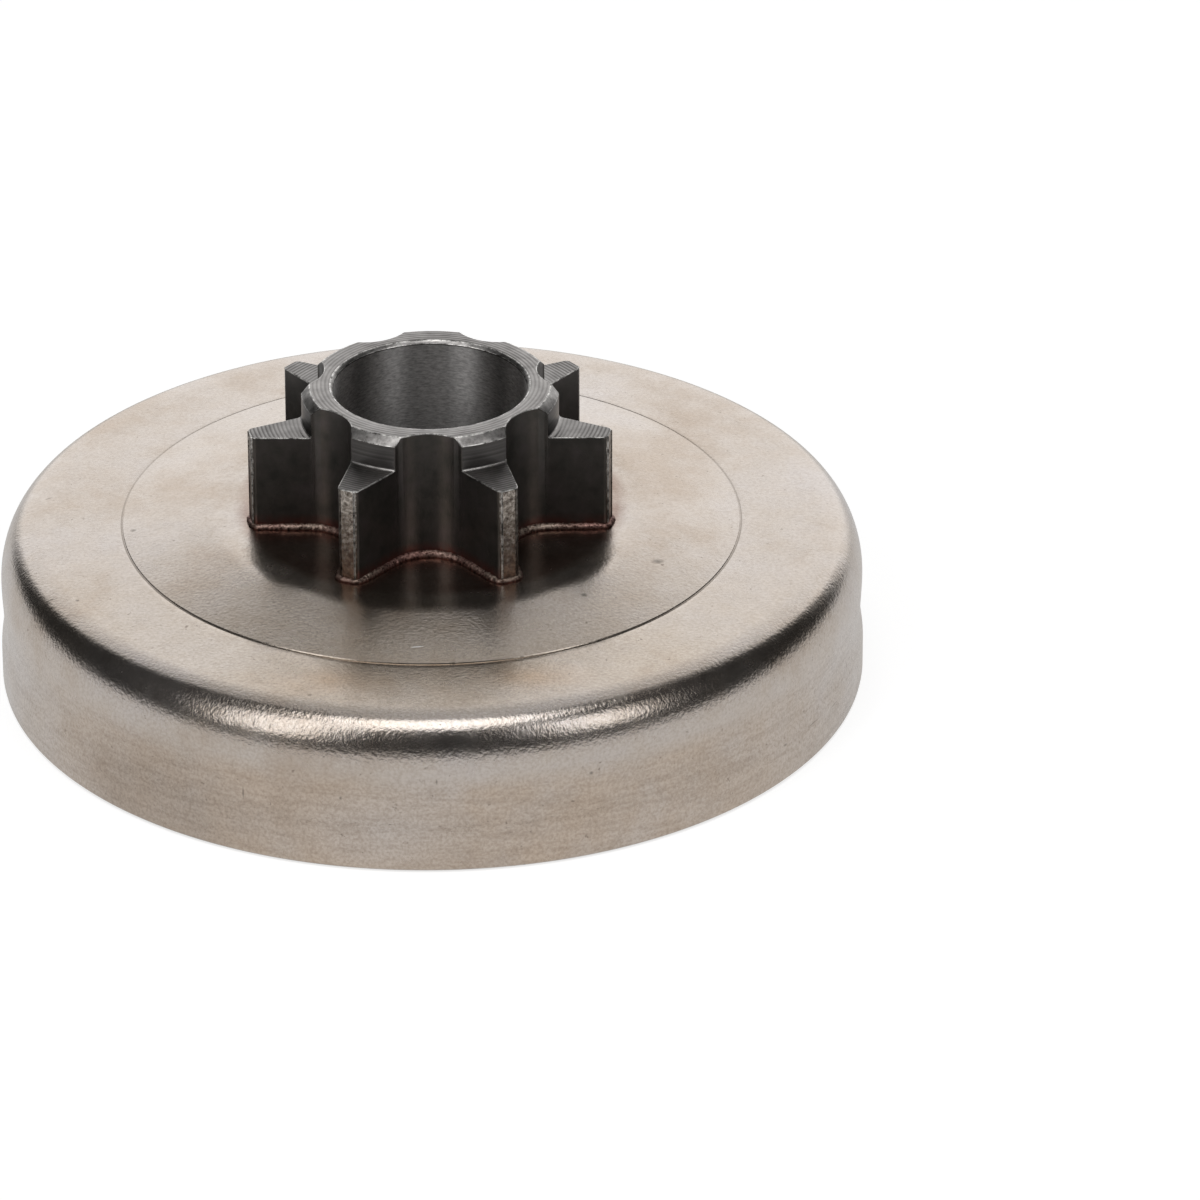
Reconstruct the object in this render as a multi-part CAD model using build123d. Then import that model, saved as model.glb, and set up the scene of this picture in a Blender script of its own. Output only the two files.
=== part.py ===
"""Clutch drum with a spur sprocket for a saw chain.

A cup pressed from sheet steel stands on its rim, open side down. A toothed hub, turned and then
gashed from one piece of steel, sits on the middle of its face and is joined to it by a bead of
copper braze. Millimetres, +Z up along the axis, the origin on the axis in the plane of the rim.
"""
import os
from math import acos, asin, atan2, cos, degrees, hypot, pi, radians, sin, tan

from build123d import *

# Drum: the pressed cup
drum_diameter = 81.2        # over the rim
drum_height = 14.5          # from the rim to the top of the bend
wall_thickness = 2.0
web_thickness = 2.0         # the face of the cup
rim_break = 0.3             # chamfer on both edges of the rim
inner_corner_radius = 1.5   # between the friction wall and the face, inside

# The bend between face and wall follows a quarter of an ellipse. The shoulder rolls over into it
bend_width = 2.8
bend_depth = 4.6
roll_radius = 13.0
roll_start_tilt = 2.6       # degrees, where the face ends and the roll begins
roll_end_tilt = 11.0        # degrees, where the roll meets the ellipse

# Below the bend the wall bulges out a little, then draws in at a shallow neck
bulge_drop = 0.15
neck_depth = 0.3
neck_below_bulge = 3.9
neck_run = 3.0              # from the neck down to the straight part of the wall

# The face rises to a pressed crease, then more steeply as a cone, up to the flat seat of the sprocket
ring_rise = 0.34            # from the shoulder to the crease
crease_radius = 28.9
crease_width = 0.3
crease_step = 0.08
dome_rise = 1.34            # from the crease to the seat
dome_edge_radius = 10.0     # rounds the edge of the seat into the cone

# Sprocket: the toothed hub
bore_diameter = 18.0        # runs on a needle cage 18 mm over its rollers
bore_chamfer = 0.3
root_wall = 1.3             # metal left between the bore and the bottom of a gullet
hub_lobe = 1.7              # how far the turned hub stands out past the gullets
hub_rise = 3.2              # from the tops of the teeth to the top of the hub
hub_chamfer = 0.75
hub_foot_radius = 0.3
tooth_count = 7
tip_diameter = 34.3
tip_width = 2.0
flank_angle = 13.5          # degrees, each flank from the middle line of its tooth
tooth_height = 9.4          # from the face of the drum to the tops of the teeth
spigot_shoulder = 0.1       # the spigot is turned this much under the gullets
spigot_chamfer = 0.3
spigot_stand_out = 0.6      # past the inside of the face

# Braze
braze_gap = 0.05            # between the spigot and the hole in the drum, on the radius
bead_leg = 0.55             # width and height of the bead
bead_land = 0.1             # thickness that is left at the two thin edges of the bead
seat_margin = 2.2           # flat face left outside the bead

# Radii worked out from the sizes above
wall_radius = drum_diameter / 2
friction_radius = wall_radius - wall_thickness
bulge_radius = wall_radius - bulge_drop
neck_radius = wall_radius - neck_depth
bend_centre_radius = bulge_radius - bend_width
bend_turn = atan2(bend_depth * cos(radians(roll_end_tilt)), bend_width * sin(radians(roll_end_tilt)))
bend_top_radius = bend_centre_radius + bend_width * cos(bend_turn)
shoulder_radius = bend_top_radius - roll_radius * (sin(radians(roll_end_tilt)) - sin(radians(roll_start_tilt)))
crease_foot_radius = crease_radius + crease_width
bore_radius = bore_diameter / 2
root_radius = bore_radius + root_wall
hub_radius = root_radius + hub_lobe
tip_radius = tip_diameter / 2
spigot_radius = root_radius - spigot_shoulder
hole_radius = spigot_radius + braze_gap
seat_radius = tip_radius + bead_leg + seat_margin

# How far the rounded edge of the seat turns before it runs straight down the cone
dome_run = crease_radius - seat_radius
dome_fall = dome_edge_radius - dome_rise
dome_edge_turn = atan2(dome_run, dome_fall) - acos(dome_edge_radius / hypot(dome_run, dome_fall))

# Heights above the rim worked out from the sizes above
bulge_z = drum_height - bend_depth
neck_z = bulge_z - neck_below_bulge
wall_top_z = neck_z - neck_run
bend_top_z = bulge_z + bend_depth * sin(bend_turn)
shoulder_z = bend_top_z + roll_radius * (cos(radians(roll_start_tilt)) - cos(radians(roll_end_tilt)))
crease_foot_z = shoulder_z + ring_rise
crease_top_z = crease_foot_z + crease_step
seat_z = crease_top_z + dome_rise
tooth_top_z = seat_z + tooth_height
hub_top_z = tooth_top_z + hub_rise
spigot_end_z = seat_z - web_thickness - spigot_stand_out


def face_line(drop):
    """Half section of the drum's face, lowered by drop, from the centre hole out to the crease."""
    seat_edge = (seat_radius, seat_z - drop)
    crease_top = (crease_radius, crease_top_z - drop)
    crease_foot = (crease_foot_radius, crease_foot_z - drop)
    Line((hole_radius, seat_z - drop), seat_edge)
    edge = JernArc(seat_edge, (1, 0), dome_edge_radius, -degrees(dome_edge_turn))
    Polyline(edge @ 1, crease_top, crease_foot)
    return crease_foot


def make_drum():
    """The cup, one revolved section of sheet."""
    corner_z = drum_height - web_thickness - inner_corner_radius
    with BuildPart() as drum:
        with BuildSketch(Plane.XZ):
            with BuildLine():
                crease_foot = face_line(0)
                roll = JernArc(
                    (bend_top_radius, bend_top_z), (-cos(radians(roll_end_tilt)), sin(radians(roll_end_tilt))),
                    roll_radius, roll_end_tilt - roll_start_tilt,
                )
                TangentArc(roll @ 1, crease_foot, tangent=roll % 1)
                EllipticalCenterArc(
                    (bend_centre_radius, bulge_z), bend_width, bend_depth, 0, arc_size=degrees(bend_turn),
                )
                Spline(
                    (bulge_radius, bulge_z), (neck_radius, neck_z), (wall_radius, wall_top_z),
                    tangents=[(0, -1), (0, -1)],
                )
                Polyline(
                    (wall_radius, wall_top_z), (wall_radius, rim_break), (wall_radius - rim_break, 0),
                    (friction_radius + rim_break, 0), (friction_radius, rim_break), (friction_radius, corner_z),
                )
                corner = JernArc((friction_radius, corner_z), (0, 1), inner_corner_radius, 90)
                TangentArc(corner @ 1, face_line(web_thickness), tangent=corner % 1)
                Line((hole_radius, seat_z), (hole_radius, seat_z - web_thickness))
            make_face()
        revolve(axis=Axis.Z)
    return drum.part


def gullet_outline():
    """One gullet, centred on +X: a root arc with a straight flank out to each tooth tip."""
    half_pitch = pi / tooth_count
    tip_turn = half_pitch - asin(tip_width / 2 / tip_radius)
    tip = (tip_radius * cos(tip_turn), tip_radius * sin(tip_turn))
    flank_turn = half_pitch + radians(flank_angle)
    # Where the two flanks would meet, and the circle that touches both of them and the root
    apex = tip[0] - tip[1] / tan(flank_turn)
    arc_radius = (root_radius - apex) * sin(flank_turn) / (1 - sin(flank_turn))
    arc_centre = root_radius + arc_radius
    touch = (arc_centre - arc_radius * sin(flank_turn), arc_radius * cos(flank_turn))
    outside = tip_diameter
    far = (outside, (outside - apex) * tan(flank_turn))
    with BuildSketch() as gullet:
        with BuildLine():
            ThreePointArc((touch[0], -touch[1]), (root_radius, 0), touch)
            Polyline(touch, far, (far[0], -far[1]), (touch[0], -touch[1]))
        make_face()
    return gullet.sketch


def all_gullets():
    """Every gullet, with the teeth between them, one tooth on +Y."""
    first = degrees(pi / 2 + pi / tooth_count)
    pitch = 360 / tooth_count
    return [Rot(Z=first + pitch * place) * gullet_outline() for place in range(tooth_count)]


def make_sprocket():
    """A turned blank with the gullets cut through it from the top down to the drum's face."""
    with BuildPart() as blank:
        with BuildSketch(Plane.XZ):
            with BuildLine():
                Polyline(
                    (hub_radius, tooth_top_z + hub_foot_radius), (hub_radius, hub_top_z - hub_chamfer),
                    (hub_radius - hub_chamfer, hub_top_z), (bore_radius + bore_chamfer, hub_top_z),
                    (bore_radius, hub_top_z - bore_chamfer), (bore_radius, spigot_end_z + bore_chamfer),
                    (bore_radius + bore_chamfer, spigot_end_z), (spigot_radius - spigot_chamfer, spigot_end_z),
                    (spigot_radius, spigot_end_z + spigot_chamfer), (spigot_radius, seat_z),
                    (tip_radius, seat_z), (tip_radius, tooth_top_z),
                    (hub_radius + hub_foot_radius, tooth_top_z),
                )
                JernArc((hub_radius + hub_foot_radius, tooth_top_z), (-1, 0), hub_foot_radius, -90)
            make_face()
        revolve(axis=Axis.Z)
    cuts = [extrude(Pos(Z=seat_z) * face, amount=tooth_height + hub_rise) for face in all_gullets()]
    return blank.part - cuts


def make_braze():
    """The bead that runs round the foot of the teeth, following their outline."""
    outline = Circle(tip_radius) - all_gullets()
    bead = extrude(offset(outline, bead_leg, kind=Kind.ARC), amount=bead_leg)
    top = bead.faces().sort_by(Axis.Z)[-1]
    bead = chamfer(top.edges(), bead_leg - bead_land)
    return Pos(Z=seat_z) * (bead - extrude(outline, amount=bead_leg))


os.makedirs("parts", exist_ok=True)
export_step(make_drum(), "parts/clutch_drum.step")
export_step(make_sprocket(), "parts/spur_sprocket.step")
export_step(make_braze(), "parts/braze_fillet.step")
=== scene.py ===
"""Clutch drum with a spur sprocket brazed on its face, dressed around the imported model."""
import math

import bpy
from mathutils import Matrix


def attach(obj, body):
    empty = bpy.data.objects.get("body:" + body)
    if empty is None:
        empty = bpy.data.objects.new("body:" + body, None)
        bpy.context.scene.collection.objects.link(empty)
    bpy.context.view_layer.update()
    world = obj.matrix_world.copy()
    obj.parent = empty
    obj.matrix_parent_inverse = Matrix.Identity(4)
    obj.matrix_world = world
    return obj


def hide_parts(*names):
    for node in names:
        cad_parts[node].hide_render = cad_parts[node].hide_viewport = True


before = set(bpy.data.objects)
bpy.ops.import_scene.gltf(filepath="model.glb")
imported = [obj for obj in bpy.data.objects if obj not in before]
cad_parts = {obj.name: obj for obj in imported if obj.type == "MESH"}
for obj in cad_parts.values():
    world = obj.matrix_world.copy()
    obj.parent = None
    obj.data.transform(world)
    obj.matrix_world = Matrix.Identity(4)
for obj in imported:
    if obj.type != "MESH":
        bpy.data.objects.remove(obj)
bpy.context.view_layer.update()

MM = 0.001
WELD = 1e-7             # metres; points closer than this become one
SLIVER_WELD = 1e-6

# Drum, in millimetres
RIM_RADIUS = 40.6
FRICTION_RADIUS = 38.6
RIM_BREAK = 0.3
WALL_TOP = (40.6, 3.0)
NECK = (40.3, 6.0)
BULGE = (40.45, 9.9)
BEND_WIDTH = 2.8
BEND_DEPTH = 4.6
ROLL_RADIUS = 13.0
ROLL_TILTS = (11.0, 2.6)
RING_RISE = 0.34
CREASE_RADIUS = 28.9
CREASE_WIDTH = 0.3
CREASE_STEP = 0.08
DOME_RISE = 1.34
DOME_EDGE_RADIUS = 10.0
SEAT_RADIUS = 19.9
HOLE_RADIUS = 10.25
WEB = 2.0
INNER_CORNER = 1.5
INNER_CORNER_Z = 11.0
DRUM_STEPS = 256

# The narrow groove pressed in at the crease: steps from the crease's top, then from its foot
GROOVE_FROM_TOP = ((0.02, -0.03), (0.05, -0.1), (0.12, -0.11), (0.16, -0.105))
GROOVE_FROM_FOOT = ((-0.09, -0.024), (-0.05, -0.006), (0, 0))
GROOVE_MIDDLE = CREASE_RADIUS + 0.155
GROOVE_HALF_WIDTH = 0.1

# Sprocket, in millimetres
TEETH = 7
TIP_RADIUS = 17.15
TIP_WIDTH = 2.0
TIP_ROUND = 0.55
FLANK_ANGLE = math.radians(13.5)
ROOT_RADIUS = 10.3
HUB_RADIUS = 12.0
HUB_CHAMFER = 0.75
HUB_FOOT = 0.3
BORE_RADIUS = 9.0
BORE_CHAMFER = 0.3
SPIGOT_RADIUS = 10.2
SPIGOT_STAND_OUT = 0.6
TOOTH_HEIGHT = 9.4
HUB_RISE = 3.2
EDGE_BREAK = 0.09
BLANK_STEPS = TEETH * 40
PITCH = 2 * math.pi / TEETH
FIRST_GULLET = math.pi / 2 + PITCH / 2

# How far the tool that cuts the gullets runs past the tips, further in its middle, and past the hub's top
CUTTER_PAST_TIPS = 0.3
CUTTER_BULGE = 2.0
CUTTER_PAST_TOP = 1.0

# Finishes of the sprocket, in the order of its material slots
OXIDE, WORN, TURNED, HONED, TIP, CHAMFER, SIDE = range(7)

# Braze bead, in millimetres. Each row of its lumps has their size and strength
BEAD_RADIUS = 0.38
BEAD_LIFT = 0.02
BEAD_SINK = 0.02
BEAD_LUMPS = ((1.6, 0.16), (0.2, 0.24))

# What the bead gains, as shares of its radius, and the share of a gullet's depth over which it leaves the tip
BEAD_FLANK_SWELL = 0.22
BEAD_GULLET_SWELL = 0.28
BEAD_TIP_SHARE = 0.15

# Dark nicks and scratches in the drum's skin: place, half sizes, and turn about the axis in degrees
NICKS = [
    ((-34.9, -15.2, 14.44), (0.9, 0.16, 0.4), 9),
    ((-32.4, -15.8, 14.7), (0.25, 0.25, 0.3), 0),
    ((-36.15, 4.8, 14.6), (0.55, 0.12, 0.3), 30),
    ((-27.8, -2.9, 15.2), (0.4, 0.35, 0.3), 0),
    ((21.1, -10.7, 15.9), (0.8, 0.5, 0.4), 20),
    ((14.3, -17.6, 16.1), (0.45, 0.4, 0.4), 0),
    ((-16.6, -36.8, 6.1), (0.11, 0.4, 0.8), 0),
    ((-7.7, -39.6, 7.1), (0.18, 0.3, 0.2), 0),
    ((-15.5, -36.5, 13.2), (0.12, 0.5, 0.5), -24),
    ((-14.0, -37.05, 13.1), (0.12, 0.5, 0.35), -21),
    ((-16.8, -36.0, 12.7), (0.12, 0.5, 0.3), -25),
    ((1.0, -40.3, 9.2), (0.13, 0.4, 0.35), 0),
    ((14.9, -37.5, 8.5), (0.25, 0.4, 0.25), 0),
    ((37.3, -15.6, 3.5), (1.1, 0.5, 0.08), 66),
    ((35.3, -19.6, 3.8), (1.4, 0.5, 0.08), 60),
    ((32.7, -23.8, 3.8), (0.35, 0.5, 0.14), 54),
]
BRIGHT_SCRATCH = ((-0.92, -26.45, 15.5), (0.75, 0.11, 0.4), 8)

# Stains on the drum: place and half sizes
RUST_PATCHES = [
    ((-8.5, -31.6, 14.6), (6, 3, 4)),
    ((9.5, -31.0, 14.6), (7, 3, 4)),
]
PALE_PATCH = ((-4, -40.4, 4), (9, 6, 5))
TAN_PATCH = ((-25, -32, 2), (13, 11, 9))


# Modelling moves

def start_vertex(name, place):
    """A new piece in edit mode, one vertex at a place in millimetres."""
    bpy.ops.object.select_all(action="DESELECT")
    bpy.ops.mesh.primitive_plane_add(size=MM, location=(0, 0, 0))
    piece = bpy.context.object
    piece.name = name
    piece.data.name = name
    bpy.ops.object.mode_set(mode="EDIT")
    bpy.ops.mesh.select_all(action="SELECT")
    bpy.ops.mesh.merge(type="CENTER")
    bpy.ops.transform.translate(value=[MM * c for c in place])
    return piece


def trace(points):
    """Extrudes the last vertex from point to point; the first point is where it already is."""
    for here, there in zip(points, points[1:]):
        step = [MM * (b - a) for a, b in zip(here, there)]
        bpy.ops.mesh.extrude_region_move(TRANSFORM_OT_translate={"value": step})


def turned_piece(name, section, steps):
    """A closed half section of (radius, height) points spun round the axis."""
    points = [(r, 0, z) for r, z in section + section[:1]]
    piece = start_vertex(name, points[0])
    trace(points)
    bpy.ops.mesh.select_all(action="SELECT")
    bpy.ops.mesh.remove_doubles(threshold=WELD)
    bpy.ops.mesh.spin(steps=steps, angle=2 * math.pi, center=(0, 0, 0), axis=(0, 0, 1))
    bpy.ops.mesh.select_all(action="SELECT")
    bpy.ops.mesh.remove_doubles(threshold=WELD)
    bpy.ops.mesh.normals_make_consistent(inside=False)
    bpy.ops.object.mode_set(mode="OBJECT")
    return piece


def make_active(piece):
    bpy.ops.object.select_all(action="DESELECT")
    piece.select_set(True)
    bpy.context.view_layer.objects.active = piece


def apply_modifier(piece, modifier):
    make_active(piece)
    bpy.ops.object.modifier_apply(modifier=modifier.name)


def smooth(piece, angle):
    make_active(piece)
    bpy.ops.object.shade_smooth_by_angle(angle=math.radians(angle))


# Points of outlines

def line(a, b, count):
    """Points along a straight line, from just after a up to b."""
    run, rise = b[0] - a[0], b[1] - a[1]
    return [(a[0] + run * i / count, a[1] + rise * i / count) for i in range(1, count + 1)]


def arc(centre, radii, begin, end, count):
    """Points along an arc of a circle or an ellipse, both ends included."""
    angles = [begin + (end - begin) * i / count for i in range(count + 1)]
    return [(centre[0] + radii[0] * math.cos(t), centre[1] + radii[1] * math.sin(t)) for t in angles]


def ease(a, b, count):
    """Points from just after a up to b that leave and arrive straight up and down."""
    points = []
    for i in range(1, count + 1):
        k = (1 - math.cos(math.pi * i / count)) / 2
        points.append((a[0] + (b[0] - a[0]) * k, a[1] + (b[1] - a[1]) * i / count))
    return points


def skin_arc(start, tilt, end_tilt, run, count):
    """Points along a skin that leaves start leaning by tilt and leans by end_tilt, in degrees, after run."""
    a, b = math.radians(tilt), math.radians(end_tilt)
    radius = run / (math.sin(b) - math.sin(a))
    points = []
    for i in range(1, count + 1):
        t = a + (b - a) * i / count
        points.append((start[0] + radius * (math.sin(t) - math.sin(a)),
                       start[1] + radius * (math.cos(t) - math.cos(a))))
    return points


def other_tilt(inner, outer, tilt):
    """Lean at one end of the arc between two points of the skin when it leans by tilt at the other end."""
    return 2 * math.degrees(math.atan2(inner[1] - outer[1], outer[0] - inner[0])) - tilt


def turned(point, angle):
    c, s = math.cos(angle), math.sin(angle)
    return point[0] * c - point[1] * s, point[0] * s + point[1] * c


# The drum's half section

def drum_levels():
    """Where the roll meets the bend, and the places of the shoulder, the crease and the seat."""
    end, begin = (math.radians(t) for t in ROLL_TILTS)
    turn = math.atan2(BEND_DEPTH * math.cos(end), BEND_WIDTH * math.sin(end))
    bend_top = (BULGE[0] - BEND_WIDTH + BEND_WIDTH * math.cos(turn), BULGE[1] + BEND_DEPTH * math.sin(turn))
    shoulder = (
        bend_top[0] - ROLL_RADIUS * (math.sin(end) - math.sin(begin)),
        bend_top[1] + ROLL_RADIUS * (math.cos(begin) - math.cos(end)),
    )
    foot = (CREASE_RADIUS + CREASE_WIDTH, shoulder[1] + RING_RISE)
    top = (CREASE_RADIUS, foot[1] + CREASE_STEP)
    return turn, bend_top, shoulder, foot, top, top[1] + DOME_RISE


BEND_TURN, BEND_TOP, SHOULDER, CREASE_FOOT, CREASE_TOP, SEAT_Z = drum_levels()
TOOTH_TOP_Z = SEAT_Z + TOOTH_HEIGHT
HUB_TOP_Z = TOOTH_TOP_Z + HUB_RISE
SPIGOT_END_Z = SEAT_Z - WEB - SPIGOT_STAND_OUT


def dome_points(drop):
    """The face from the hole out to the top of the crease, lowered by drop: flat, rounded, then a cone."""
    seat = SEAT_Z - drop
    points = [(HOLE_RADIUS, seat), (15.0, seat), (SEAT_RADIUS, seat)]
    run = CREASE_RADIUS - SEAT_RADIUS
    below = DOME_EDGE_RADIUS - DOME_RISE
    lean = math.atan2(run, below) - math.acos(DOME_EDGE_RADIUS / math.hypot(run, below))
    points += skin_arc(points[-1], 0, math.degrees(lean), DOME_EDGE_RADIUS * math.sin(lean), 8)
    points += line(points[-1], (CREASE_TOP[0], CREASE_TOP[1] - drop), 6)
    return points


def drum_section():
    """The cup from the hole over the face and down the wall to the rim, then back along the inside."""
    points = dome_points(0)
    points += [(CREASE_TOP[0] + x, CREASE_TOP[1] + z) for x, z in GROOVE_FROM_TOP]
    points += [(CREASE_FOOT[0] + x, CREASE_FOOT[1] + z) for x, z in GROOVE_FROM_FOOT]
    ring_tilt = other_tilt(CREASE_FOOT, SHOULDER, ROLL_TILTS[1])
    points += skin_arc(CREASE_FOOT, ring_tilt, ROLL_TILTS[1], SHOULDER[0] - CREASE_FOOT[0], 14)
    points += skin_arc(SHOULDER, ROLL_TILTS[1], ROLL_TILTS[0], BEND_TOP[0] - SHOULDER[0], 10)
    points += arc((BULGE[0] - BEND_WIDTH, BULGE[1]), (BEND_WIDTH, BEND_DEPTH), BEND_TURN, 0, 30)[1:]
    points += ease(BULGE, NECK, 8) + ease(NECK, WALL_TOP, 6)
    points += [(RIM_RADIUS, 1.6), (RIM_RADIUS, RIM_BREAK + 0.12), (RIM_RADIUS - 0.04, RIM_BREAK - 0.06),
               (RIM_RADIUS - RIM_BREAK + 0.06, 0.04), (RIM_RADIUS - RIM_BREAK - 0.12, 0)]
    points += [(FRICTION_RADIUS + RIM_BREAK, 0), (FRICTION_RADIUS, RIM_BREAK), (FRICTION_RADIUS, 4.0),
               (FRICTION_RADIUS, 8.0), (FRICTION_RADIUS, INNER_CORNER_Z)]
    corner_centre = (FRICTION_RADIUS - INNER_CORNER, INNER_CORNER_Z)
    points += arc(corner_centre, (INNER_CORNER, INNER_CORNER), 0, math.pi / 2, 10)[1:]
    corner = points[-1]
    foot = (CREASE_FOOT[0], CREASE_FOOT[1] - WEB)
    inner_ring = skin_arc(foot, other_tilt(foot, corner, 0), 0, corner[0] - foot[0], 12)
    points += inner_ring[-2::-1] + [foot]
    points += dome_points(WEB)[::-1]
    return points


# The sprocket's outlines

def gullet_shape():
    """A gullet on +X: lean of its flanks, where they would meet, its root arc, and where a flank begins."""
    tip_turn = PITCH / 2 - math.asin(TIP_WIDTH / 2 / TIP_RADIUS)
    lean = PITCH / 2 + FLANK_ANGLE
    apex = TIP_RADIUS * math.cos(tip_turn) - TIP_RADIUS * math.sin(tip_turn) / math.tan(lean)
    radius = (ROOT_RADIUS - apex) * math.sin(lean) / (1 - math.sin(lean))
    centre = ROOT_RADIUS + radius
    touch = (centre - radius * math.sin(lean), radius * math.cos(lean))
    return lean, apex, radius, centre, touch


FLANK_LEAN, FLANK_APEX, ROOT_ARC_RADIUS, ROOT_ARC_CENTRE, FLANK_FOOT = gullet_shape()


def root_arc(count):
    """The bottom of a gullet on +X, from its lower flank to its upper one."""
    half = math.pi / 2 - FLANK_LEAN
    radii = (ROOT_ARC_RADIUS, ROOT_ARC_RADIUS)
    return arc((ROOT_ARC_CENTRE, 0), radii, math.pi + half, math.pi - half, count)


def tip_corner():
    """The round edge from a gullet's upper flank to its tooth's tip, on +X, and the angle where it ends."""
    inside = TIP_RADIUS - TIP_ROUND
    turn = FLANK_LEAN + math.asin((TIP_ROUND - FLANK_APEX * math.sin(FLANK_LEAN)) / inside)
    centre = (inside * math.cos(turn), inside * math.sin(turn))
    return arc(centre, (TIP_ROUND, TIP_ROUND), FLANK_LEAN - math.pi / 2, turn, 6), turn


def tooth_outline():
    """The outline of the teeth, counterclockwise and closely spaced, with its tip corners rounded."""
    corner, turn = tip_corner()
    rise = line(FLANK_FOOT, corner[0], 48)[:-1] + corner
    fall = [turned((x, -y), PITCH) for x, y in rise[::-1]]
    crown = arc((0, 0), (TIP_RADIUS, TIP_RADIUS), turn, PITCH - turn, 6)[1:-1]
    tooth = root_arc(48) + rise + crown + fall
    return [turned(p, FIRST_GULLET + PITCH * k) for k in range(TEETH) for p in tooth]


def gullet_cutter():
    """All the gullets as one tool: a wedge with a round root and flared ends, copied round the axis."""
    corner = tip_corner()[0][:-1]
    far = TIP_RADIUS + CUTTER_PAST_TIPS
    rise = corner + [turned((far, 0), math.atan2(corner[-1][1], corner[-1][0]))]
    outline = root_arc(40) + rise + [(far + CUTTER_BULGE, 0)] + [(x, -y) for x, y in rise[::-1]]
    ring = [(*turned(p, FIRST_GULLET), SEAT_Z) for p in outline + outline[:1]]
    cutter = start_vertex("gullet_cutter", ring[0])
    trace(ring)
    bpy.ops.mesh.select_all(action="SELECT")
    bpy.ops.mesh.remove_doubles(threshold=WELD)
    bpy.ops.mesh.edge_face_add()
    lift = MM * (TOOTH_HEIGHT + HUB_RISE + CUTTER_PAST_TOP)
    bpy.ops.mesh.extrude_region_move(TRANSFORM_OT_translate={"value": (0, 0, lift)})
    bpy.ops.mesh.select_all(action="SELECT")
    bpy.ops.mesh.normals_make_consistent(inside=False)
    copies = TEETH - 1
    bpy.ops.mesh.spin(steps=copies, dupli=True, angle=PITCH * copies, center=(0, 0, 0), axis=(0, 0, 1))
    bpy.ops.object.mode_set(mode="OBJECT")
    return cutter


def blank_section():
    foot_centre = (HUB_RADIUS + HUB_FOOT, TOOTH_TOP_Z + HUB_FOOT)
    return arc(foot_centre, (HUB_FOOT, HUB_FOOT), -math.pi / 2, -math.pi, 6) + [
        (HUB_RADIUS, HUB_TOP_Z - HUB_CHAMFER), (HUB_RADIUS - HUB_CHAMFER, HUB_TOP_Z),
        (BORE_RADIUS + BORE_CHAMFER, HUB_TOP_Z), (BORE_RADIUS, HUB_TOP_Z - BORE_CHAMFER),
        (BORE_RADIUS, SPIGOT_END_Z + BORE_CHAMFER), (BORE_RADIUS + BORE_CHAMFER, SPIGOT_END_Z),
        (SPIGOT_RADIUS - BORE_CHAMFER, SPIGOT_END_Z), (SPIGOT_RADIUS, SPIGOT_END_Z + BORE_CHAMFER),
        (SPIGOT_RADIUS, SEAT_Z), (TIP_RADIUS, SEAT_Z), (TIP_RADIUS, TOOTH_TOP_Z),
    ]


def is_round(face):
    """True for a face that looks straight out from the axis."""
    outward = math.hypot(face.center.x, face.center.y)
    return (face.normal.x * face.center.x + face.normal.y * face.center.y) > 0.7 * outward


def sprocket_finish(face):
    """Which finish a face of the sprocket has: tops are turned, the bore is honed, tips are scaled."""
    outward = math.hypot(face.center.x, face.center.y)
    if face.normal.z > 0.9:
        return TURNED
    if face.normal.z > 0.6:
        return CHAMFER
    if outward < MM * (BORE_RADIUS + BORE_CHAMFER):
        return HONED
    if outward > MM * (TIP_RADIUS - 0.1):
        return TIP
    on_hub = abs(outward - MM * HUB_RADIUS) < MM * 0.2 and face.center.z > MM * TOOTH_TOP_Z
    return SIDE if on_hub and is_round(face) else OXIDE


def merge_slivers(piece):
    """Merges the slivers of the gashing. Faces that look down stay: merged, they would close the bore."""
    make_active(piece)
    bpy.ops.object.mode_set(mode="EDIT")
    bpy.ops.mesh.select_all(action="SELECT")
    bpy.ops.mesh.remove_doubles(threshold=SLIVER_WELD)
    bpy.ops.mesh.select_mode(type="FACE")
    bpy.ops.mesh.select_all(action="DESELECT")
    bpy.ops.object.mode_set(mode="OBJECT")
    for face in piece.data.polygons:
        face.select = face.normal.z > -0.5
    bpy.ops.object.mode_set(mode="EDIT")
    bpy.ops.mesh.dissolve_limited(angle_limit=math.radians(0.2))
    bpy.ops.mesh.select_mode(type="VERT")
    bpy.ops.object.mode_set(mode="OBJECT")


def make_sprocket():
    """A turned blank, gashed by the gullets, with every edge broken."""
    sprocket = turned_piece("sprocket", blank_section(), BLANK_STEPS)
    cutter = gullet_cutter()
    gash = sprocket.modifiers.new("gash", "BOOLEAN")
    gash.object = cutter
    gash.operation = "DIFFERENCE"
    gash.solver = "EXACT"
    apply_modifier(sprocket, gash)
    bpy.data.objects.remove(cutter)
    merge_slivers(sprocket)
    for make in (oxide_steel, worn_edge, turned_steel, honed_bore, tip_steel, bright_chamfer, turned_side):
        sprocket.data.materials.append(make())
    for face in sprocket.data.polygons:
        face.material_index = sprocket_finish(face)
    broken = sprocket.modifiers.new("edge_break", "BEVEL")
    broken.width = EDGE_BREAK * MM
    broken.segments = 2
    broken.limit_method = "ANGLE"
    broken.angle_limit = math.radians(24)
    broken.use_clamp_overlap = False
    broken.material = WORN
    apply_modifier(sprocket, broken)
    # Upright edges are worn only at the tips
    for face in sprocket.data.polygons:
        outward = math.hypot(face.center.x, face.center.y)
        if face.material_index == WORN and abs(face.normal.z) < 0.25 and outward < MM * (TIP_RADIUS - 0.5):
            face.material_index = OXIDE
    smooth(sprocket, 18)
    return sprocket


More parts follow.
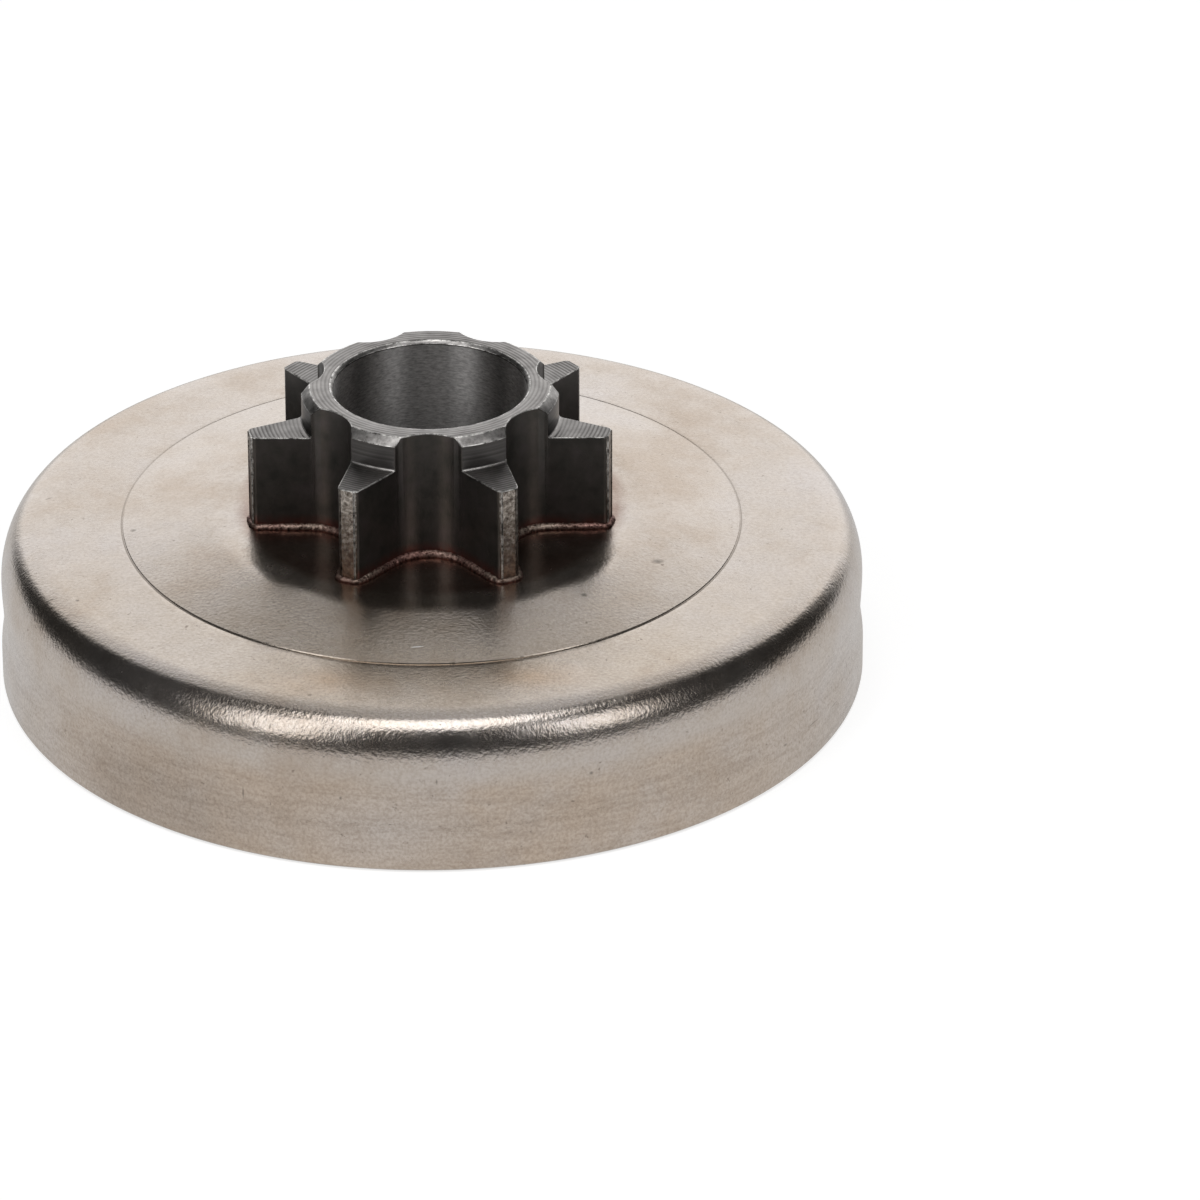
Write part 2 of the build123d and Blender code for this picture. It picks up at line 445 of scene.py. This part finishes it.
def make_bead():
    """The braze: a round bead drawn along the foot of the teeth, made lumpy and cut flat underneath."""
    bpy.ops.object.select_all(action="DESELECT")
    bpy.ops.curve.primitive_bezier_circle_add(radius=TIP_RADIUS * MM)
    path = bpy.context.object
    path.data.splines.clear()
    course = path.data.splines.new("POLY")
    outline = tooth_outline()
    course.points.add(len(outline) - 1)
    for point, (x, y) in zip(course.points, outline):
        point.co = (x * MM, y * MM, (SEAT_Z + BEAD_LIFT) * MM, 1)
        # Thin round the tips, thicker along the flanks, thickest at the bottom of the gullets
        inward = (TIP_RADIUS - math.hypot(x, y)) / (TIP_RADIUS - ROOT_RADIUS)
        point.radius = 1 + BEAD_FLANK_SWELL * min(1, inward / BEAD_TIP_SHARE) + BEAD_GULLET_SWELL * inward
    course.use_cyclic_u = True
    path.data.dimensions = "3D"
    path.data.twist_mode = "Z_UP"
    path.data.bevel_depth = BEAD_RADIUS * MM
    path.data.bevel_resolution = 5
    path.data.fill_mode = "FULL"
    make_active(path)
    bpy.ops.object.convert(target="MESH")
    bead = bpy.context.object
    bead.name = "braze_bead"
    bead.data.name = "braze_bead"
    for size, strength in BEAD_LUMPS:
        cloud = bpy.data.textures.new("bead_lumps", "CLOUDS")
        cloud.noise_scale = size * MM
        lumps = bead.modifiers.new("lumps", "DISPLACE")
        lumps.texture = cloud
        lumps.texture_coords = "LOCAL"
        lumps.strength = strength * MM
        lumps.mid_level = 0.55
        apply_modifier(bead, lumps)
    bpy.ops.object.mode_set(mode="EDIT")
    bpy.ops.mesh.select_all(action="SELECT")
    flat = (0, 0, (SEAT_Z - BEAD_SINK) * MM)
    bpy.ops.mesh.bisect(plane_co=flat, plane_no=(0, 0, 1), clear_inner=True, threshold=WELD)
    bpy.ops.mesh.bridge_edge_loops()
    bpy.ops.mesh.select_all(action="SELECT")
    bpy.ops.mesh.normals_make_consistent(inside=False)
    bpy.ops.object.mode_set(mode="OBJECT")
    return bead


# Nodes

def new_finish(name, metallic=1.0, roughness=0.5):
    finish = bpy.data.materials.new(name)
    finish.use_nodes = True
    tree = finish.node_tree
    shader = tree.nodes["Principled BSDF"]
    shader.inputs["Metallic"].default_value = metallic
    shader.inputs["Roughness"].default_value = roughness
    place = tree.nodes.new("ShaderNodeTexCoord")
    return finish, tree, shader, place.outputs["Object"]


def feed(tree, socket, value):
    """Sets a socket to a number or a colour, or links it to a node's output."""
    if isinstance(value, (int, float)):
        socket.default_value = value
    elif isinstance(value, tuple):
        socket.default_value = (*value, 1)
    else:
        tree.links.new(value, socket)


def arithmetic(tree, operation, first, second=0):
    """One sum of two values, either of which may be a plain number."""
    node = tree.nodes.new("ShaderNodeMath")
    node.operation = operation
    feed(tree, node.inputs[0], first)
    feed(tree, node.inputs[1], second)
    return node.outputs["Value"]


def times(tree, first, second):
    return arithmetic(tree, "MULTIPLY", first, second)


def speckle(tree, place, scale, detail=3.0, rough=0.6):
    """Noise of a given scale, from 0 to 1."""
    noise = tree.nodes.new("ShaderNodeTexNoise")
    noise.inputs["Scale"].default_value = scale
    noise.inputs["Detail"].default_value = detail
    noise.inputs["Roughness"].default_value = rough
    tree.links.new(place, noise.inputs["Vector"])
    return noise.outputs["Fac"]


def level_lines(tree, height):
    """Noise along the height only, so that it makes level lines."""
    noise = tree.nodes.new("ShaderNodeTexNoise")
    noise.noise_dimensions = "1D"
    noise.inputs["Scale"].default_value = 4500
    noise.inputs["Detail"].default_value = 3
    tree.links.new(height, noise.inputs["W"])
    return noise.outputs["Fac"]


def stretched(tree, place, scale):
    """The place scaled along each axis."""
    mapping = tree.nodes.new("ShaderNodeMapping")
    mapping.inputs["Scale"].default_value = scale
    tree.links.new(place, mapping.inputs["Vector"])
    return mapping.outputs["Vector"]


def ramp(tree, value, stops):
    """A colour for each value, from pairs of position and colour."""
    node = tree.nodes.new("ShaderNodeValToRGB")
    elements = node.color_ramp.elements
    while len(elements) < len(stops):
        elements.new(0.5)
    for element, (position, colour) in zip(elements, stops):
        element.position = position
        element.color = (*colour, 1)
    tree.links.new(value, node.inputs["Fac"])
    return node.outputs["Color"]


def spread(tree, value, low, high, to_low, to_high, easing="LINEAR"):
    """The value carried from one range to another, and held at its ends."""
    node = tree.nodes.new("ShaderNodeMapRange")
    node.interpolation_type = easing
    for socket, number in zip(("From Min", "From Max", "To Min", "To Max"), (low, high, to_low, to_high)):
        node.inputs[socket].default_value = number
    tree.links.new(value, node.inputs["Value"])
    return node.outputs["Result"]


def fade(tree, value, start, end):
    """1 up to start, easing to 0 at end."""
    return spread(tree, value, start, end, 1.0, 0.0, "SMOOTHSTEP")


def blend(tree, factor, first, second, kind="MIX"):
    node = tree.nodes.new("ShaderNodeMix")
    node.data_type = "RGBA"
    node.blend_type = kind
    for place, value in ((0, factor), (6, first), (7, second)):
        feed(tree, node.inputs[place], value)
    return node.outputs[2]


def relief(tree, shader, height, strength, distance):
    """Fine bumps, their height in millimetres."""
    node = tree.nodes.new("ShaderNodeBump")
    feed(tree, node.inputs["Strength"], strength)
    node.inputs["Distance"].default_value = distance * MM
    tree.links.new(height, node.inputs["Height"])
    tree.links.new(node.outputs["Normal"], shader.inputs["Normal"])


def length_of(tree, vector):
    node = tree.nodes.new("ShaderNodeVectorMath")
    node.operation = "LENGTH"
    tree.links.new(vector, node.inputs[0])
    return node.outputs["Value"]


def reach(tree, place):
    """Distance from the axis."""
    flat = tree.nodes.new("ShaderNodeVectorMath")
    flat.operation = "MULTIPLY"
    flat.inputs[1].default_value = (1, 1, 0)
    tree.links.new(place, flat.inputs[0])
    return length_of(tree, flat.outputs["Vector"])


def parts_of(tree, place):
    """The three coordinates of a place."""
    split = tree.nodes.new("ShaderNodeSeparateXYZ")
    tree.links.new(place, split.inputs["Vector"])
    return split.outputs["X"], split.outputs["Y"], split.outputs["Z"]


def near(tree, value, middle, half_width):
    """1 where the value is at the middle, falling to 0 at half_width to either side."""
    away = arithmetic(tree, "ABSOLUTE", arithmetic(tree, "SUBTRACT", value, middle * MM))
    return spread(tree, away, half_width * MM, half_width * MM / 2, 0, 1)


def spot(tree, place, middle, size, turn=0, core=0.4):
    """1 in the core of an ellipsoid at middle, in millimetres, fading to 0 at its skin."""
    mapping = tree.nodes.new("ShaderNodeMapping")
    mapping.vector_type = "TEXTURE"
    mapping.inputs["Location"].default_value = [MM * c for c in middle]
    mapping.inputs["Rotation"].default_value = (0, 0, math.radians(turn))
    mapping.inputs["Scale"].default_value = [MM * c for c in size]
    tree.links.new(place, mapping.inputs["Vector"])
    return spread(tree, length_of(tree, mapping.outputs["Vector"]), 1, core, 0, 1)


def rings(tree, outward, pitch):
    """Lathe rings round the axis, a wave of the given pitch in millimetres."""
    return arithmetic(tree, "SINE", times(tree, outward, 2 * math.pi / (pitch * MM)))


# Finishes

def drum_stains(tree, place, outward, on_wall):
    """The steel's own colour: yellower in front, browner round the wall, rusty and heated in places."""
    x, y = parts_of(tree, place)[:2]
    colour = ramp(tree, speckle(tree, place, 60, 6, 0.66),
                  [(0.34, (0.53, 0.445, 0.37)), (0.5, (0.61, 0.545, 0.488)), (0.66, (0.632, 0.58, 0.545))])
    on_face = spread(tree, outward, 37.5 * MM, 36 * MM, 0, 1)
    front = times(tree, spread(tree, y, -8 * MM, -28 * MM, 0, 1), on_face)
    colour = blend(tree, front, colour, (1.0, 0.975, 0.925), "MULTIPLY")
    patchy = spread(tree, speckle(tree, place, 130, 4, 0.6), 0.35, 0.6, 0.35, 1)
    angle = arithmetic(tree, "ABSOLUTE", arithmetic(tree, "ARCTAN2", x, times(tree, y, -1)))
    front_wall = times(tree, spread(tree, angle, math.radians(65), math.radians(35), 0, 1), on_wall)
    colour = blend(tree, times(tree, front_wall, patchy), colour, (0.6, 0.5, 0.41))
    pale = times(tree, spot(tree, place, *PALE_PATCH, core=0), patchy)
    colour = blend(tree, pale, colour, (0.66, 0.605, 0.565))
    colour = blend(tree, times(tree, spot(tree, place, *TAN_PATCH), 0.4), colour, (0.36, 0.3, 0.245))
    for middle, size in RUST_PATCHES:
        rust = times(tree, spot(tree, place, middle, size, core=0), patchy)
        colour = blend(tree, rust, colour, (1.0, 0.9, 0.8), "MULTIPLY")
    heat = spread(tree, outward, (TIP_RADIUS + 1.5) * MM, (TIP_RADIUS + 0.3) * MM, 0, 0.8)
    return blend(tree, times(tree, heat, patchy), colour, (0.3, 0.19, 0.15))


def drum_grain(tree, place, colour, on_wall):
    """Adds the fine grain, the level lines of the wall and dark specks."""
    grain = ramp(tree, speckle(tree, place, 3500, 2), [(0.3, (0.71, 0.67, 0.64)), (0.62, (1, 1, 1))])
    colour = blend(tree, spread(tree, on_wall, 0, 1, 0.5, 0.75), colour, grain, "MULTIPLY")
    along = speckle(tree, stretched(tree, place, (0.1, 0.1, 1)), 2200, 3)
    lines = ramp(tree, along, [(0.34, (0.72, 0.69, 0.66)), (0.56, (1, 1, 1))])
    colour = blend(tree, times(tree, on_wall, 0.4), colour, lines, "MULTIPLY")
    specks = spread(tree, speckle(tree, place, 1300, 3, 0.7), 0.33, 0.27, 0, 0.6)
    return blend(tree, specks, colour, (0.16, 0.12, 0.09))


def drum_marks_and_crease_shade(tree, place, colour, outward):
    """Adds painted shade in the crease's groove, weaker towards the back, then the nicks and the bright
    scratch.
    """
    y = parts_of(tree, place)[1]
    # Painted shade: the groove is darkened, most on the side that faces the camera
    groove_shade = near(tree, outward, GROOVE_MIDDLE, GROOVE_HALF_WIDTH)
    shade_to_front = spread(tree, y, 12 * MM, -8 * MM, 0.3, 1)
    colour = blend(tree, times(tree, groove_shade, shade_to_front), colour, (0.28, 0.24, 0.205))
    for middle, size, turn in NICKS:
        nick = times(tree, spot(tree, place, middle, size, turn, 0.1), 0.75)
        colour = blend(tree, nick, colour, (0.1, 0.085, 0.07))
    return blend(tree, spot(tree, place, *BRIGHT_SCRATCH), colour, (0.95, 0.93, 0.9))


def drum_steel():
    """Pressed steel with a satin grain, coarser round the bend, with brown stains, nicks and scratches."""
    finish, tree, shader, place = new_finish("drum_steel")
    outward = reach(tree, place)
    on_wall = spread(tree, parts_of(tree, place)[2], BULGE[1] * MM, (BULGE[1] - 2) * MM, 0, 1)
    colour = drum_stains(tree, place, outward, on_wall)
    colour = drum_grain(tree, place, colour, on_wall)
    colour = drum_marks_and_crease_shade(tree, place, colour, outward)
    tree.links.new(colour, shader.inputs["Base Color"])
    sheen = spread(tree, speckle(tree, place, 420, 4), 0.3, 0.7, 0.22, 0.28)
    tree.links.new(sheen, shader.inputs["Roughness"])
    coarser = spread(tree, outward, 36.8 * MM, 38.6 * MM, 0.5, 1)
    relief(tree, shader, speckle(tree, place, 2900, 2.5), coarser, 0.036)
    return finish


def oxide_steel():
    """The cut sides of the teeth: dark heat scale, reddened at the foot by the braze."""
    finish, tree, shader, place = new_finish("oxide_steel", metallic=0.7)
    z = parts_of(tree, place)[2]
    colour = ramp(tree, speckle(tree, place, 500, 4),
                  [(0.3, (0.052, 0.05, 0.045)), (0.5, (0.075, 0.068, 0.062)), (0.7, (0.092, 0.08, 0.078))])
    heat = spread(tree, z, (SEAT_Z + 1.6) * MM, (SEAT_Z + 0.3) * MM, 0, 1)
    patchy = spread(tree, speckle(tree, place, 900, 4, 0.7), 0.3, 0.6, 0.2, 1)
    colour = blend(tree, times(tree, heat, patchy), colour, (0.13, 0.035, 0.024))
    tree.links.new(colour, shader.inputs["Base Color"])
    sheen = spread(tree, speckle(tree, place, 1500, 3), 0.3, 0.7, 0.28, 0.4)
    tree.links.new(sheen, shader.inputs["Roughness"])
    relief(tree, shader, speckle(tree, place, 5000, 2), 0.1, 0.04)
    return finish


def worn_edge():
    """Broken edges, rubbed bright in places."""
    finish, tree, shader, place = new_finish("worn_edge", roughness=0.38)
    wear = ramp(tree, speckle(tree, place, 1500, 4, 0.72),
                [(0.38, (0.12, 0.115, 0.11)), (0.58, (0.85, 0.83, 0.8))])
    tree.links.new(wear, shader.inputs["Base Color"])
    return finish


def turned_steel():
    """Tops of the teeth and the hub, with the rings of the lathe tool, coarser towards the tips."""
    finish, tree, shader, place = new_finish("turned_steel", roughness=0.32)
    colour = ramp(tree, speckle(tree, place, 700, 4), [(0.3, (0.24, 0.228, 0.22)), (0.7, (0.4, 0.382, 0.37))])
    outward = reach(tree, place)
    on_teeth = spread(tree, outward, HUB_RADIUS * MM, (HUB_RADIUS + 0.6) * MM, 0, 1)
    colour = blend(tree, on_teeth, colour, (0.8, 0.8, 0.8), "MULTIPLY")
    wave = rings(tree, outward, 0.38)
    grooves = ramp(tree, spread(tree, wave, -1, 1, 0, 1), [(0.15, (0.36, 0.35, 0.34)), (0.7, (1, 1, 1))])
    deep = spread(tree, outward, 13.5 * MM, 15.5 * MM, 0.45, 0.9)
    tree.links.new(blend(tree, deep, colour, grooves, "MULTIPLY"), shader.inputs["Base Color"])
    relief(tree, shader, wave, 0.5, 0.02)
    return finish


def bright_chamfer():
    """The chamfers of the hub and the bore, rubbed bright in places."""
    finish, tree, shader, place = new_finish("bright_chamfer", roughness=0.36)
    colour = ramp(tree, speckle(tree, place, 1100, 5, 0.7),
                  [(0.34, (0.2, 0.19, 0.182)), (0.62, (0.54, 0.52, 0.505))])
    tree.links.new(colour, shader.inputs["Base Color"])
    relief(tree, shader, speckle(tree, place, 3000, 3), 0.6, 0.02)
    return finish


def turned_side():
    """The side of the hub, dark, with fine level tool lines."""
    finish, tree, shader, place = new_finish("turned_side", roughness=0.36)
    lines = level_lines(tree, parts_of(tree, place)[2])
    colour = ramp(tree, lines, [(0.3, (0.07, 0.066, 0.063)), (0.7, (0.115, 0.108, 0.105))])
    tree.links.new(colour, shader.inputs["Base Color"])
    relief(tree, shader, lines, 0.25, 0.02)
    return finish


def honed_bore():
    """The bore: dull grey, with fine scratches round it."""
    finish, tree, shader, place = new_finish("honed_bore", roughness=0.42)
    shader.inputs["Anisotropic"].default_value = 0.9
    shader.inputs["Anisotropic Rotation"].default_value = 0.25
    scratches = speckle(tree, stretched(tree, place, (0.7, 0.7, 2.4)), 2600, 4, 0.7)
    colour = ramp(tree, scratches, [(0.32, (0.36, 0.345, 0.34)), (0.66, (0.72, 0.7, 0.685))])
    tree.links.new(colour, shader.inputs["Base Color"])
    relief(tree, shader, scratches, 0.5, 0.02)
    return finish


def tip_steel():
    """The outer ends of the teeth, scaled and speckled, browner towards the foot."""
    finish, tree, shader, place = new_finish("tip_steel", roughness=0.42)
    z = parts_of(tree, place)[2]
    grey = ramp(tree, speckle(tree, place, 2400, 4, 0.72),
                [(0.36, (0.1, 0.085, 0.075)), (0.52, (0.34, 0.31, 0.28)), (0.66, (0.75, 0.71, 0.67))])
    rust = ramp(tree, speckle(tree, place, 1700, 4, 0.7),
                [(0.35, (0.042, 0.022, 0.015)), (0.65, (0.2, 0.13, 0.095))])
    foot = spread(tree, z, (TOOTH_TOP_Z - 2) * MM, (SEAT_Z + 1) * MM, 0, 0.9)
    tree.links.new(blend(tree, foot, grey, rust), shader.inputs["Base Color"])
    relief(tree, shader, speckle(tree, place, 2600, 3), 0.7, 0.03)
    return finish


def braze_copper():
    """Dull copper with a paler crest that turns from pink to grey along the bead; towards its foot it darkens
    to dark red, partly the copper's own red and partly painted shade.
    """
    finish, tree, shader, place = new_finish("braze_copper", metallic=0.85, roughness=0.45)
    z = parts_of(tree, place)[2]
    crest = ramp(tree, speckle(tree, place, 110, 3), [(0.4, (0.46, 0.37, 0.305)), (0.6, (0.42, 0.25, 0.215))])
    # Partly painted shade: the bead is darkened by height, to dark red at its foot
    height = spread(tree, z, (SEAT_Z + 0.05) * MM, (SEAT_Z + 0.4) * MM, 0, 1)
    colour = blend(tree, height, (0.12, 0.045, 0.033), crest)
    mottle = ramp(tree, speckle(tree, place, 3000, 3, 0.72), [(0.36, (0.16, 0.11, 0.1)), (0.6, (1, 1, 1))])
    tree.links.new(blend(tree, 1.0, colour, mottle, "MULTIPLY"), shader.inputs["Base Color"])
    return finish


# The pieces

drum = turned_piece("drum", drum_section(), DRUM_STEPS)
smooth(drum, 30)
drum.data.materials.append(drum_steel())
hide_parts("clutch_drum")

sprocket = make_sprocket()
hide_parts("spur_sprocket")

bead = make_bead()
bead.data.materials.append(braze_copper())
smooth(bead, 60)
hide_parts("braze_fillet")

for piece in (drum, sprocket, bead):
    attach(piece, "root")


# Studio

def seen_in_metal(tree):
    """Light Path's camera ray, and 1 for the rays that show a surface in metal or through glass."""
    path = tree.nodes.new("ShaderNodeLightPath")
    shown = arithmetic(tree, "MAXIMUM", path.outputs["Is Glossy Ray"], path.outputs["Is Transmission Ray"])
    return path.outputs["Is Camera Ray"], shown


def make_floor():
    """Pale paper that keeps the shadow. It glows a little, most to the camera, so that it comes out white."""
    bpy.ops.object.select_all(action="DESELECT")
    bpy.ops.mesh.primitive_plane_add(size=12, location=(0, 0, -0.0001))
    floor = bpy.context.object
    floor.name = "floor"
    paper = bpy.data.materials.new("floor_paper")
    paper.use_nodes = True
    tree = paper.node_tree
    tree.nodes.clear()
    output = tree.nodes.new("ShaderNodeOutputMaterial")
    matt = tree.nodes.new("ShaderNodeBsdfDiffuse")
    matt.inputs["Color"].default_value = (0.35, 0.35, 0.35, 1)
    glow = tree.nodes.new("ShaderNodeEmission")
    camera_ray, metal_ray = seen_in_metal(tree)
    level = arithmetic(tree, "ADD", times(tree, camera_ray, 0.5), times(tree, metal_ray, 0.2))
    level = arithmetic(tree, "ADD", level, 0.35)
    # Painted shadow: no glow under the drum, where it is dark
    place = tree.nodes.new("ShaderNodeTexCoord").outputs["Object"]
    outside = spread(tree, reach(tree, place), FRICTION_RADIUS * MM, RIM_RADIUS * MM, 0, 1)
    tree.links.new(times(tree, level, outside), glow.inputs["Strength"])
    both = tree.nodes.new("ShaderNodeAddShader")
    tree.links.new(matt.outputs["BSDF"], both.inputs[0])
    tree.links.new(glow.outputs["Emission"], both.inputs[1])
    tree.links.new(both.outputs["Shader"], output.inputs["Surface"])
    floor.data.materials.append(paper)


def make_world():
    """White paper to the camera, and to the metal where the sweep stands behind the object, in a dim room."""
    world = bpy.data.worlds.new("studio")
    bpy.context.scene.world = world
    world.use_nodes = True
    tree = world.node_tree
    tree.nodes.clear()
    output = tree.nodes.new("ShaderNodeOutputWorld")
    way = tree.nodes.new("ShaderNodeTexCoord")
    x, y, z = parts_of(tree, way.outputs["Generated"])
    # The sweep's top edge leans, and it stands a little to the right
    top = arithmetic(tree, "ADD", z, times(tree, x, -0.15))
    side = arithmetic(tree, "SUBTRACT", arithmetic(tree, "ARCTAN2", x, y), math.radians(5))
    width = fade(tree, arithmetic(tree, "ABSOLUTE", side), math.radians(30), math.radians(44))
    sweep = times(tree, fade(tree, top, 0.5, 0.82), width)
    room = tree.nodes.new("ShaderNodeBackground")
    level = arithmetic(tree, "ADD", times(tree, sweep, 0.22), 0.03)
    tree.links.new(level, room.inputs["Strength"])
    camera_ray, metal_ray = seen_in_metal(tree)
    white = tree.nodes.new("ShaderNodeBackground")
    white.inputs["Color"].default_value = (1, 1, 1, 1)
    shown = arithmetic(tree, "MAXIMUM", camera_ray, times(tree, metal_ray, sweep))
    tree.links.new(shown, white.inputs["Strength"])
    both = tree.nodes.new("ShaderNodeAddShader")
    tree.links.new(room.outputs["Background"], both.inputs[0])
    tree.links.new(white.outputs["Background"], both.inputs[1])
    tree.links.new(both.outputs["Shader"], output.inputs["Surface"])


def add_softbox(name, place, rotation, size, radiance, shape="RECTANGLE"):
    """An area light of a given width, height and radiance, hidden from the camera."""
    bpy.ops.object.select_all(action="DESELECT")
    bpy.ops.object.light_add(type="AREA", location=place, rotation=rotation)
    box = bpy.context.object
    box.name = name
    box.data.shape = shape
    box.data.size, box.data.size_y = size
    fill = math.pi / 4 if shape == "ELLIPSE" else 1
    box.data.energy = radiance * math.pi * size[0] * size[1] * fill
    box.visible_camera = False


def add_side_softbox(name, azimuth, elevation, distance, size, radiance):
    """A softbox turned towards the object. Azimuth is from straight behind it, to the right."""
    a, e = math.radians(azimuth), math.radians(elevation)
    level = distance * math.cos(e)
    place = (level * math.sin(a), level * math.cos(a), distance * math.sin(e))
    add_softbox(name, place, (math.pi / 2 - e, 0, math.pi - a), size, radiance)


make_floor()
make_world()
add_side_softbox("softbox_left", -137, 40, 1.4, (0.58, 1.2), 1.9)
add_side_softbox("softbox_right", 133, 36, 1.4, (0.5, 0.82), 1.8)
add_softbox("softbox_overhead", (0, -0.22, 1.3), (0, 0, 0), (0.84, 1.1), 2.2, "ELLIPSE")
add_softbox("strip_overhead", (0, 0.7, 1.3), (0, 0, 0), (0.4, 0.8), 0.6)

camera_place = (0.014448, -0.713536, 0.384622)
camera_turn = (1.083235, 0.001171, -0.002498)
bpy.ops.object.camera_add(location=camera_place, rotation=camera_turn)
camera = bpy.context.object
camera.data.sensor_width = 36
camera.data.lens = 257.052
camera.data.clip_start = 0.05
camera.data.clip_end = 30
bpy.context.scene.camera = camera
bpy.context.scene.view_settings.view_transform = "Standard"
